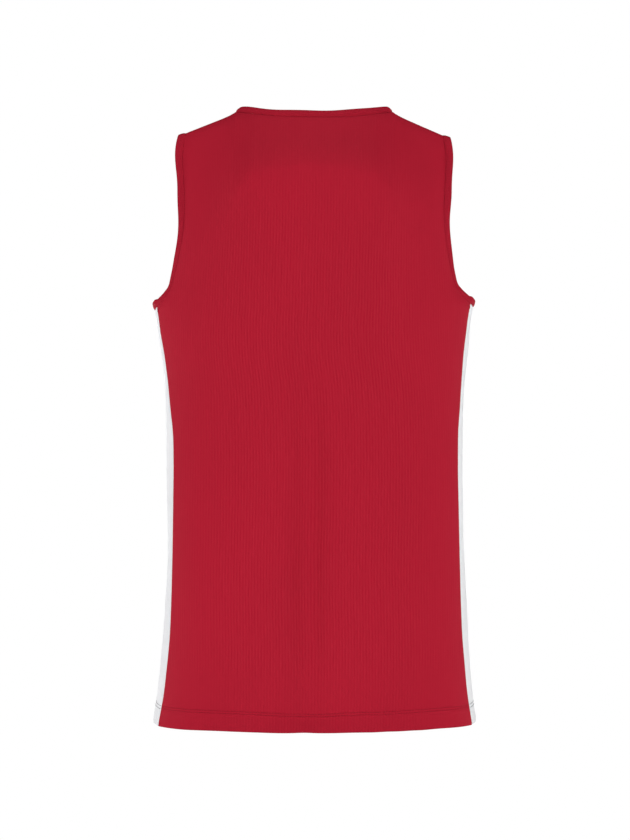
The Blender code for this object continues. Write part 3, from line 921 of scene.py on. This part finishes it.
def flank_panel():
    """Middle points, facing and flat map of the left side panel."""
    near_seam = np.array([0.91, 0.955, 0.985, 1.0])
    columns = np.concatenate([-near_seam[::-1], np.linspace(-0.85, 0.85, 23), near_seam])
    rows = np.concatenate([[0.0, 0.0015, 0.0035], finished_rows()[1:]])
    across, down = np.meshgrid(columns, rows)
    points = flank_surface(across, down)
    facing = outward(inside_flank, points)
    from_top = run_lengths(points, 0)
    from_front = run_lengths(points, 1)
    from_side = np.minimum(from_front, from_front[:, -1:] - from_front)
    above_hem = from_top[-1] - from_top + HEM_FOLD_RADIUS
    y, z = points[..., 1], points[..., 2]
    out = seam_roll(SEAM_ROLL, from_side) + seam_roll(BAND_ROLL, from_top)
    out += 0.35 * slack(2.0 * y, z) * (1.0 - np.exp(-((from_side / FLANK_FREE_REACH) ** 2)))
    out += stitch_dip(above_hem, from_front, from_side)
    middle = points + (out - INSET)[..., None] * facing
    # Both edges stand back from the seams by the gap.
    for edge, beside in ((0, 1), (-1, -2)):
        middle[:, edge] += SEAM_GAP * unit(points[:, beside] - points[:, edge])
    # In the flat map the hem's turning is laid out below the panel.
    flat = np.stack([from_front - 0.5 * from_front[:, -1:], -from_top], axis=-1) * MM
    middle, facing = turned_hem(middle, facing, from_front[-1])
    extra = run_lengths(middle, 0)[len(rows) - 1 :] * MM
    below = flat[-1] + np.stack([np.zeros_like(extra), extra[0] - extra], axis=-1)[1:]
    far = np.full_like(above_hem, HEM_TURN)
    return middle, facing, np.concatenate([flat, below]), painted_shade_where_doubled(above_hem, far, far, middle)


def mirrored(grid):
    """Points or directions of the right side, from those of the left."""
    return grid * np.array((-1.0, 1.0, 1.0))


def band_section(width, thickness, roll):
    """A folded strip cut across: places along its width and out from the cloth, round its outline."""
    # The front layer's height over the panel's outer face, how far it dips at the seam and over what
    # distance, and the radius of the fold.
    top, swell, rise, fold = -0.2, 0.37 + roll, 2.0, 0.62
    shares = np.linspace(0.0, 1.0, 11)
    reach = shares * (width - fold)
    front = top - swell * np.exp(-((reach / rise) ** 2))
    angles = np.linspace(0.5 * math.pi, -0.5 * math.pi, 9)
    bend = np.stack([width - fold + fold * np.cos(angles), top - fold + fold * np.sin(angles)], axis=-1)
    # The back layer never touches the front one.
    back = np.minimum(top - 2.0 * fold - 0.2 * shares, front[::-1] - thickness - 0.08)
    ways = [np.stack([reach, front], axis=-1)[:-1], bend, np.stack([reach[::-1], back], axis=-1)[1:]]
    outline = thickened(np.concatenate(ways), thickness)
    # The stretched strip bends in towards the body, more and more towards its fold.
    radius = width / BAND_BEND
    angle, reach = outline[:, 0] / radius, radius + outline[:, 1]
    return np.stack([reach * np.sin(angle), reach * np.cos(angle) - radius], axis=-1)


def thickened(line, thickness):
    """The outline of a strip of this thickness about a line."""
    run = unit(np.gradient(line, axis=0))
    side = np.stack([-run[:, 1], run[:, 0]], axis=-1) * (0.5 * thickness)
    return np.concatenate([line + side, (line - side)[::-1]])


def allowance_depth(roll, reach):
    """How deep the neatened edges of a seam lie inside the cloth, this far from the seam."""
    return ALLOWANCE_DEPTH - seam_roll(roll, reach)


def allowance_section(thickness, roll):
    """The neatened edges of a band's seam cut across, pressed away from the band and a little under it."""
    reach = np.linspace(SEAM_LAP, -SEAM_ALLOWANCE, 12)
    # The part under the band keeps clear of both of its layers.
    under_band = max(ALLOWANCE_UNDER_BAND, 0.75 + roll + 2.0 * thickness)
    depth = np.where(reach > 0.0, under_band, allowance_depth(roll, reach))
    return thickened(np.stack([reach, -depth], axis=-1), thickness)


def sewn_round(name, edge, facing, section, angle, material):
    """A strip that runs round a closed edge: its section is turned about its root by an angle at each point."""
    tangent = np.roll(edge, -1, axis=0) - np.roll(edge, 1, axis=0)
    level = unit(np.cross(facing, tangent))
    along = np.cos(angle) * level + np.sin(angle) * facing
    out = np.cos(angle) * facing - np.sin(angle) * level
    wave = 1.0 + BAND_UNEVENNESS * np.sin(np.arange(len(edge)) * 0.19)
    root = section[0, 1]
    reach = (SEAM_GAP + section[:, 0])[None, :, None] * wave[:, None, None]
    height = (section[:, 1] - root)[None, :, None]
    start = edge + root * facing
    rings = start[:, None, :] + reach * along[:, None, :] + height * out[:, None, :]
    lengths = run_of(closed(edge)) * MM
    return ring(name, rings, lengths, run_of(closed(section)) * MM, material), float(lengths[-1])


def even_loop(edge, facing, way):
    """A closed edge, its facing and each point's share of the way round, with points at even distances."""
    run = run_of(closed(edge))
    places = np.linspace(0.0, run[-1], int(run[-1] / RING_SPACING) + 1)[:-1]
    points = at_places(places, run, closed(edge))
    return points, unit(at_places(places, run, closed(facing))), np.interp(places, run, np.append(way, 1.0))


def inside_of(side):
    """The function that tells inside from outside for the back or front."""
    return lambda points: inside_panel(side, points)


def edge_points(side, across, down):
    """Outer points of the back or front with the way that each faces."""
    points = panel_surface(side, across, down)
    return points, outward(inside_of(side), points)


def neck_loop():
    """The neckline from the left shoulder round the back to the right, then round the front."""
    angles = np.linspace(0.5 * math.pi, -0.5 * math.pi, 161)
    across = CORNER * mix(angles / (0.5 * math.pi), np.sin(angles), 0.7)
    back = edge_points("back", across, np.zeros_like(across))
    front = edge_points("front", across[::-1][1:-1], np.zeros(len(across) - 2))
    way = np.linspace(0.0, 1.0, 2 * len(across) - 1)[:-1]
    return *(np.concatenate([back[k], front[k]]) for k in (0, 1)), way


def armhole_loop():
    """The left armhole from the shoulder down the front, under the arm and up the back."""
    down = np.concatenate([np.linspace(0.0, 0.9, 90), np.linspace(0.9, 1.0, 24)[1:]])
    ones = np.ones_like(down)
    front = edge_points("front", ones, down)
    back = edge_points("back", ones[1:], down[::-1][:-1])
    across = np.linspace(-1.0, 1.0, 24)[1:-1]
    under = flank_surface(across, np.zeros_like(across))
    pieces = [front, (under, outward(inside_flank, under)), back]
    corner = UNDERARM_WAY
    way = [corner * down, mix(corner, 1.0 - corner, 0.5 + 0.5 * across), 1.0 - corner * down[::-1][:-1]]
    return *(np.concatenate([piece[k] for piece in pieces]) for k in (0, 1)), np.concatenate(way)


def set_back(grid, reach):
    """Points at these distances from the first row of a grid, measured along its columns."""
    run = run_lengths(grid, 0)
    return np.stack([at_places(reach, run[:, k], grid[:, k]) for k in range(grid.shape[1])], axis=1)


def allowance(roll, lapped, inside_lapped, pressed, inside_pressed):
    """Middle points, facing and flat map of a seam's neatened edges, inside the cloth.

    They lap a little under one piece and are pressed against the other. Both grids start at the seam.
    """
    lap, press = np.linspace(0.0, SEAM_LAP, 4)[1:], np.linspace(0.0, SEAM_ALLOWANCE, 9)
    under, along_side = set_back(lapped, lap)[::-1], set_back(pressed, press)
    points = np.concatenate([under, along_side])
    facing = np.concatenate([outward(inside_lapped, under), outward(inside_pressed, along_side)])
    reach = np.concatenate([-lap[::-1], press])
    along = run_lengths(points, 1)
    flat = np.stack([along, np.broadcast_to(reach[:, None], along.shape)], axis=-1) * MM
    return points - allowance_depth(roll, reach)[:, None, None] * facing, facing, flat


def shoulder_allowance():
    """The left shoulder seam's edges, pressed towards the back."""
    across, down = np.meshgrid(np.linspace(CORNER + 0.012, 0.985, 60), np.linspace(0.0, 0.16, 50))
    front, back = panel_surface("front", across, down), panel_surface("back", across, down)
    return allowance(BAND_ROLL, front, inside_of("front"), back, inside_of("back"))


def side_allowance(side):
    """The left side seam's edges, pressed towards the back or front."""
    down = np.linspace(0.003, 1.0 - 1.5 * HEM_FOLD_RADIUS / (UNDERARM_Z - HEM_Z), 130)
    near = np.linspace(1.0, 0.94, 16)[:, None]
    near_flank = np.linspace(1.0, 0.85, 16)[:, None] * (1.0 if side == "back" else -1.0)
    flank = flank_surface(*np.broadcast_arrays(near_flank, down))
    panel = panel_surface(side, *np.broadcast_arrays(near, 1.0 + down))
    return allowance(SEAM_ROLL, flank, inside_flank, panel, inside_of(side))


def handed(hand, grid):
    """A grid made for the left side, or its mirror image for the right."""
    return mirrored(grid) if hand == "right" else grid


def dress(piece, node):
    """Fixes a new piece to the garment, in place of a solid where it stands for one."""
    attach(piece, "root")
    if node:
        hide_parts(node)
    return piece


# ------------------------------------------------------------------------------------------------------------
# Stitching.


def stitch_body(length, thickness):
    """One stitch lying along X: a rounded bar, thin and sunk at both ends."""
    stations = np.linspace(-1.0, 1.0, 7)
    rings = []
    for station in stations:
        swell = math.sqrt(max(1.0 - station**4, 0.02))
        for angle in np.arange(STITCH_SIDES) * 2.0 * math.pi / STITCH_SIDES:
            width = 0.5 * thickness * swell
            rise = -0.35 * thickness * station**2
            rings.append((0.5 * length * station, width * math.cos(angle), rise + width * math.sin(angle)))
    quads = wrap_quads(len(stations), STITCH_SIDES, False, True)
    return np.array(rings), quads


def stitch_line(points, facing, length):
    """Middles and axes of even stitches along an open run of points."""
    run = run_of(points)
    count = max(int(run[-1] / (length + STITCH_GAP * length)), 1)
    places = (np.arange(count) + 0.5) * run[-1] / count
    out = unit(at_places(places, run, facing))
    along = unit(at_places(places + 1.0, run, points) - at_places(places - 1.0, run, points))
    return at_places(places, run, points), along, np.cross(out, along), out


def stitches(name, lines, cloth, material):
    """All stitches of some rows as one mesh of many small rounded bars."""
    length, thickness = millimetres(cloth.stitch_length), millimetres(cloth.thread_thickness)
    body, quads = stitch_body(length, thickness)
    points, faces, count = [], [], 0
    for line in lines:
        middle, along, across, out = stitch_line(*line, length)
        bars = (
            middle[:, None, :]
            + body[None, :, 0:1] * along[:, None, :]
            + body[None, :, 1:2] * across[:, None, :]
            + body[None, :, 2:3] * out[:, None, :]
        )
        points.append(bars.reshape(-1, 3))
        starts = count + np.arange(len(middle)) * len(body)
        faces.append((quads[None, :, :] + starts[:, None, None]).reshape(-1, 4))
        count += len(middle) * len(body)
    piece = new_piece(name, np.concatenate(points), np.concatenate(faces), {}, material)
    face_out(piece.data, close_ends_of=STITCH_SIDES)
    piece.data.shade_smooth()
    return piece


def hem_rows(middle, facing, thickness):
    """The runs of points that the hem's rows of stitches follow, on the outside of a panel's grid."""
    # The hem's lowest row is the third of its fold.
    outer_rows = int(np.argmin(middle[:, middle.shape[1] // 2, 2])) - 3
    points, normals = middle[:outer_rows], facing[:outer_rows]
    from_top = run_lengths(points, 0)
    above = from_top[-1] - from_top + HEM_FOLD_RADIUS
    lines = []
    for row in STITCH_ROWS:
        k = int(np.argmin(np.abs(above.mean(axis=1) - row)))
        lines.append((points[k, 1:-1] + (0.5 * thickness + STITCH_STAND) * normals[k, 1:-1], normals[k, 1:-1]))
    return lines


# ------------------------------------------------------------------------------------------------------------
# Settings.


class JerseyCloth(bpy.types.PropertyGroup):
    """Knit, thread and colours."""

    thickness: FloatProperty(
        name="Knit thickness", description="Thickness of one layer of knit", default=0.0006, unit="LENGTH",
        min=0.0002,
    )
    rib_pitch: FloatProperty(
        name="Rib pitch", description="Distance between the knit's upright ribs", default=0.00357, unit="LENGTH"
    )
    band_rib_pitch: FloatProperty(
        name="Band rib pitch", description="Distance between the bands' ribs", default=0.0021, unit="LENGTH"
    )
    rib_relief: FloatProperty(
        name="Rib relief", description="How far a rib stands out", default=0.00016, unit="LENGTH", precision=5
    )
    stitch_width: FloatProperty(
        name="Knit stitch width", description="Width of one loop of yarn", default=0.00119, unit="LENGTH",
        precision=5,
    )
    stitch_height: FloatProperty(
        name="Knit stitch height", description="Height of one loop of yarn", default=0.0009, unit="LENGTH",
        precision=5,
    )
    stitch_relief: FloatProperty(
        name="Knit stitch relief", description="Depth between loops of yarn", default=0.00007, unit="LENGTH",
        precision=5,
    )
    neck_band_width: FloatProperty(
        name="Neck band width", description="Width of the folded band round the neck", default=0.0091,
        unit="LENGTH",
    )
    arm_band_width: FloatProperty(
        name="Armhole band width", description="Width of the folded band round each armhole", default=0.0095,
        unit="LENGTH",
    )
    overlock_pitch: FloatProperty(
        name="Seam thread pitch", description="Distance between the loops that neaten a seam", default=0.0021,
        unit="LENGTH",
    )
    stitch_length: FloatProperty(
        name="Hem stitch length", description="Length of a visible hem stitch", default=0.0026, unit="LENGTH"
    )
    thread_thickness: FloatProperty(
        name="Thread thickness", description="Thickness of the hem thread", default=0.0006, unit="LENGTH",
        precision=5,
    )
    sheen: FloatProperty(
        name="Sheen", description="Soft light that the fibres catch", default=0.02, subtype="FACTOR", min=0.0,
        max=1.0,
    )
    red: FloatVectorProperty(
        name="Red knit", description="Colour of the back and front", default=(0.400, 0.0095, 0.0265),
        subtype="COLOR",
    )
    band_red: FloatVectorProperty(
        name="Band red", description="Colour of the neck and armhole bands", default=(0.360, 0.0085, 0.024),
        subtype="COLOR",
    )
    white: FloatVectorProperty(
        name="White knit", description="Colour of the side panels", default=(0.80, 0.80, 0.815), subtype="COLOR"
    )
    # The red thread is darker than the cloth as painted shade of the stitch rows' grooves.
    red_thread: FloatVectorProperty(
        name="Red thread", description="Thread on the red hem", default=(0.26, 0.006, 0.017), subtype="COLOR"
    )
    # The grey thread is dark: partly the thread's own grey, partly painted shade of the stitch rows' grooves.
    grey_thread: FloatVectorProperty(
        name="Grey thread", description="Thread on the white hem", default=(0.10, 0.10, 0.105), subtype="COLOR"
    )


class JerseyStudio(bpy.types.PropertyGroup):
    """Floor, light and view."""

    view_distance: FloatProperty(
        name="View distance", description="From the jersey's middle plane to the camera", default=3.4,
        unit="LENGTH",
    )
    view_height: FloatProperty(
        name="View height", description="Height of the camera", default=-0.377, unit="LENGTH"
    )
    view_aside: FloatProperty(
        name="View aside", description="How far the camera stands towards the wearer's left", default=-0.00123,
        unit="LENGTH", precision=5,
    )
    view_tall: FloatProperty(
        name="View height covered", description="Height that the picture covers at the jersey", default=1.0332,
        unit="LENGTH",
    )
    floor_height: FloatProperty(
        name="Floor height", description="Height of the floor", default=-1.45, unit="LENGTH"
    )
    floor_colour: FloatVectorProperty(
        name="Floor colour", description="Colour of the floor's surface", default=(0.5, 0.5, 0.5),
        subtype="COLOR",
    )
    light_distance: FloatProperty(
        name="Light distance", description="From the jersey to each soft light", default=3.0, unit="LENGTH"
    )
    light_size: FloatProperty(
        name="Light size", description="Width and height of each soft light", default=1.0, unit="LENGTH"
    )
    brightness: FloatProperty(
        name="Brightness", description="Share of each light's power", default=1.0, subtype="FACTOR", min=0.0,
        max=4.0,
    )
    ambient: FloatProperty(
        name="Ambient", description="Even light from all round", default=0.03, subtype="FACTOR", min=0.0,
        max=2.0,
    )


class JerseySettings(bpy.types.PropertyGroup):
    """All settings of the jersey."""

    cloth: PointerProperty(type=JerseyCloth, name="Cloth", description="Knit, thread and colours")
    studio: PointerProperty(type=JerseyStudio, name="Studio", description="Floor, light and view")


# ------------------------------------------------------------------------------------------------------------
# Operators.


class JERSEY_OT_main_panels(bpy.types.Operator):
    """Make the red back and front panels with their turned hems"""

    bl_idname = "jersey.main_panels"
    bl_label = "Back and Front Panels"

    def execute(self, context):
        cloth = context.scene.jersey.cloth
        thickness = millimetres(cloth.thickness)
        sewing = shared(thread, "red_thread", cloth.red_thread)
        for side, folds in (("back", BACK_FOLDS), ("front", FRONT_FOLDS)):
            middle, facing, flat, doubled_shade = main_panel(side, folds)
            piece = shell(f"{side}_panel_cloth", middle, facing, thickness, flat, red_knit(cloth), doubled_shade)
            dress(piece, f"{side}_panel")
            sewn = stitches(f"{side}_hem_stitches", hem_rows(middle, facing, thickness), cloth, sewing)
            parts = [dress(sewn, None)]
            seams = [("side", side_allowance(side))]
            if side == "back":
                seams.append(("shoulder", shoulder_allowance()))
            for seam, (strip, strip_facing, cut) in seams:
                for hand in ("left", "right"):
                    points, normals = handed(hand, strip), handed(hand, strip_facing)
                    name = f"{side}_{seam}_seam_{hand}"
                    edges = shell(name, points, normals, thickness, cut, seam_edge(cloth))
                    parts.append(dress(edges, None))
        return {"FINISHED"}


class JERSEY_OT_side_panels(bpy.types.Operator):
    """Make the two white side panels with their turned hems"""

    bl_idname = "jersey.side_panels"
    bl_label = "Side Panels"

    def execute(self, context):
        cloth = context.scene.jersey.cloth
        thickness = millimetres(cloth.thickness)
        sewing = shared(thread, "grey_thread", cloth.grey_thread)
        middle, facing, flat, doubled_shade = flank_panel()
        rows = hem_rows(middle, facing, thickness)
        for hand in ("left", "right"):
            piece = shell(
                f"side_panel_{hand}_cloth", handed(hand, middle), handed(hand, facing), thickness, flat,
                white_knit(cloth), doubled_shade,
            )
            dress(piece, f"side_panel_{hand}")
            lines = [(handed(hand, points), handed(hand, normals)) for points, normals in rows]
            sewn = stitches(f"side_{hand}_hem_stitches", lines, cloth, sewing)
            dress(sewn, None)
        return {"FINISHED"}


class JERSEY_OT_bands(bpy.types.Operator):
    """Make the folded bands round the neck and the armholes"""

    bl_idname = "jersey.bands"
    bl_label = "Neck and Armhole Bands"

    def execute(self, context):
        cloth = context.scene.jersey.cloth
        thickness = millimetres(cloth.thickness)
        neck_width, arm_width = millimetres(cloth.neck_band_width), millimetres(cloth.arm_band_width)
        neck = even_loop(*neck_loop())
        arm = even_loop(*armhole_loop())
        # Mirroring turns a loop's direction round, so it is walked backwards to keep the strip outside.
        backwards = np.concatenate([[0], np.arange(len(arm[0]) - 1, 0, -1)])
        other = (mirrored(arm[0][backwards]), mirrored(arm[1][backwards]), arm[2][backwards])
        for name, loop, width, turn, roll in (
            ("neck_band", neck, neck_width, NECK_TURN, NECK_ROLL),
            ("armhole_band_left", arm, arm_width, ARM_TURN, BAND_ROLL),
            ("armhole_band_right", other, arm_width, ARM_TURN, BAND_ROLL),
        ):
            edge, facing, way = loop
            # The strip starts half its bend higher, so that it lies at the table's angle on the whole.
            angle = np.radians(turn.at("turn", way))[:, None] + 0.5 * BAND_BEND
            section = band_section(width, thickness, roll)
            piece, length = sewn_round(f"{name}_rib", edge, facing, section, angle, band_knit(cloth))
            dress(piece, name)
            section = allowance_section(thickness, roll)
            edges, _ = sewn_round(f"{name}_seam", edge, facing, section, 0.0 * angle, seam_edge(cloth))
            dress(edges, None)
        return {"FINISHED"}


class JERSEY_OT_studio(bpy.types.Operator):
    """Set the pale floor, the soft lights and the camera"""

    bl_idname = "jersey.studio"
    bl_label = "Studio"

    def execute(self, context):
        studio = context.scene.jersey.studio
        self.floor(studio)
        self.lights(studio)
        self.surroundings(context.scene, studio)
        self.camera(context.scene, studio)
        return {"FINISHED"}

    def floor(self, studio):
        """A wide pale floor that runs into the backdrop."""
        mesh = bpy.data.meshes.new("studio_floor")
        disc = bmesh.new()
        bmesh.ops.create_circle(disc, cap_ends=True, segments=96, radius=FLOOR_RADIUS)
        disc.to_mesh(mesh)
        disc.free()
        nodes = Nodes("studio_floor")
        nodes.shader.inputs["Base Color"].default_value = (*studio.floor_colour, 1.0)
        nodes.shader.inputs["Roughness"].default_value = 0.9
        # The sweep beyond the jersey glows, as a lit backdrop does.
        _, distance = nodes.parts(nodes.add("ShaderNodeTexCoord").outputs["Object"])
        nodes.shader.inputs["Emission Color"].default_value = WHITE
        nodes.join(nodes.fade(distance, *FLOOR_GLOW), nodes.shader.inputs["Emission Strength"])
        # Seen directly it is as white as the backdrop, so that no horizon shows from any side.
        seen = nodes.add("ShaderNodeMixShader")
        nodes.join(nodes.add("ShaderNodeLightPath").outputs["Is Camera Ray"], seen.inputs[0])
        nodes.join(nodes.shader.outputs[0], seen.inputs[1])
        nodes.join(nodes.add("ShaderNodeEmission").outputs[0], seen.inputs[2])
        nodes.join(seen.outputs[0], nodes.tree.nodes["Material Output"].inputs["Surface"])
        mesh.materials.append(nodes.material)
        floor = bpy.data.objects.new("studio_floor", mesh)
        floor.location = (0.0, 0.0, studio.floor_height)
        bpy.context.scene.collection.objects.link(floor)

    def lights(self, studio):
        """Square soft lights, all turned to the jersey's middle."""
        aim = Vector((0.0, 0.0, studio.view_height))
        for name, azimuth, rise, power in LIGHTS:
            turn, lift = math.radians(azimuth), math.radians(rise)
            towards = Vector((math.sin(turn) * math.cos(lift), math.cos(turn) * math.cos(lift), math.sin(lift)))
            lamp = bpy.data.lights.new(name, "AREA")
            lamp.shape = "RECTANGLE"
            lamp.size = lamp.size_y = studio.light_size
            lamp.energy = power * studio.brightness
            light = bpy.data.objects.new(name, lamp)
            light.location = aim + studio.light_distance * towards
            light.rotation_euler = (-towards).to_track_quat("-Z", "Y").to_euler()
            bpy.context.scene.collection.objects.link(light)

    def surroundings(self, scene, studio):
        """A white backdrop that lights the jersey only faintly."""
        world = bpy.data.worlds.new("studio")
        world.use_nodes = True
        tree = world.node_tree
        lit = tree.nodes["Background"]
        lit.inputs["Color"].default_value = WHITE
        lit.inputs["Strength"].default_value = studio.ambient
        seen = tree.nodes.new("ShaderNodeBackground")
        seen.inputs["Color"].default_value = WHITE
        seen.inputs["Strength"].default_value = 1.0
        path = tree.nodes.new("ShaderNodeLightPath")
        either = tree.nodes.new("ShaderNodeMixShader")
        tree.links.new(path.outputs["Is Camera Ray"], either.inputs[0])
        tree.links.new(lit.outputs[0], either.inputs[1])
        tree.links.new(seen.outputs[0], either.inputs[2])
        tree.links.new(either.outputs[0], tree.nodes["World Output"].inputs["Surface"])
        scene.world = world
        scene.view_settings.view_transform = "Standard"

    def camera(self, scene, studio):
        """A long lens straight behind the jersey, level with its middle."""
        data = bpy.data.cameras.new("camera")
        data.sensor_width = 36.0
        data.lens = data.sensor_width * studio.view_distance / studio.view_tall
        camera = bpy.data.objects.new("camera", data)
        camera.location = (studio.view_aside, studio.view_distance, studio.view_height)
        camera.rotation_euler = (math.radians(90.0), 0.0, math.radians(180.0))
        scene.collection.objects.link(camera)
        scene.camera = camera


class JERSEY_PT_sidebar(bpy.types.Panel):
    """The jersey's pieces and settings"""

    bl_idname = "JERSEY_PT_sidebar"
    bl_label = "Jersey"
    bl_space_type = "VIEW_3D"
    bl_region_type = "UI"
    bl_category = "Jersey"

    def draw(self, context):
        """A button for each operator, then a box for each group of settings."""
        layout = self.layout
        for operator in OPERATORS:
            layout.operator(operator.bl_idname)
        for group in (context.scene.jersey.cloth, context.scene.jersey.studio):
            box = layout.box()
            for name in group.__annotations__:
                box.prop(group, name)


OPERATORS = (JERSEY_OT_main_panels, JERSEY_OT_side_panels, JERSEY_OT_bands, JERSEY_OT_studio)
CLASSES = (JerseyCloth, JerseyStudio, JerseySettings, *OPERATORS, JERSEY_PT_sidebar)


def register():
    """Adds the classes, and the settings to every scene."""
    for each in CLASSES:
        bpy.utils.register_class(each)
    bpy.types.Scene.jersey = PointerProperty(type=JerseySettings)


def unregister():
    """Takes the settings and the classes away again."""
    del bpy.types.Scene.jersey
    for each in reversed(CLASSES):
        bpy.utils.unregister_class(each)


def main():
    """Registers the classes, then makes the studio and every piece."""
    register()
    bpy.ops.jersey.studio()
    bpy.ops.jersey.main_panels()
    bpy.ops.jersey.side_panels()
    bpy.ops.jersey.bands()


if __name__ == "__main__":
    main()
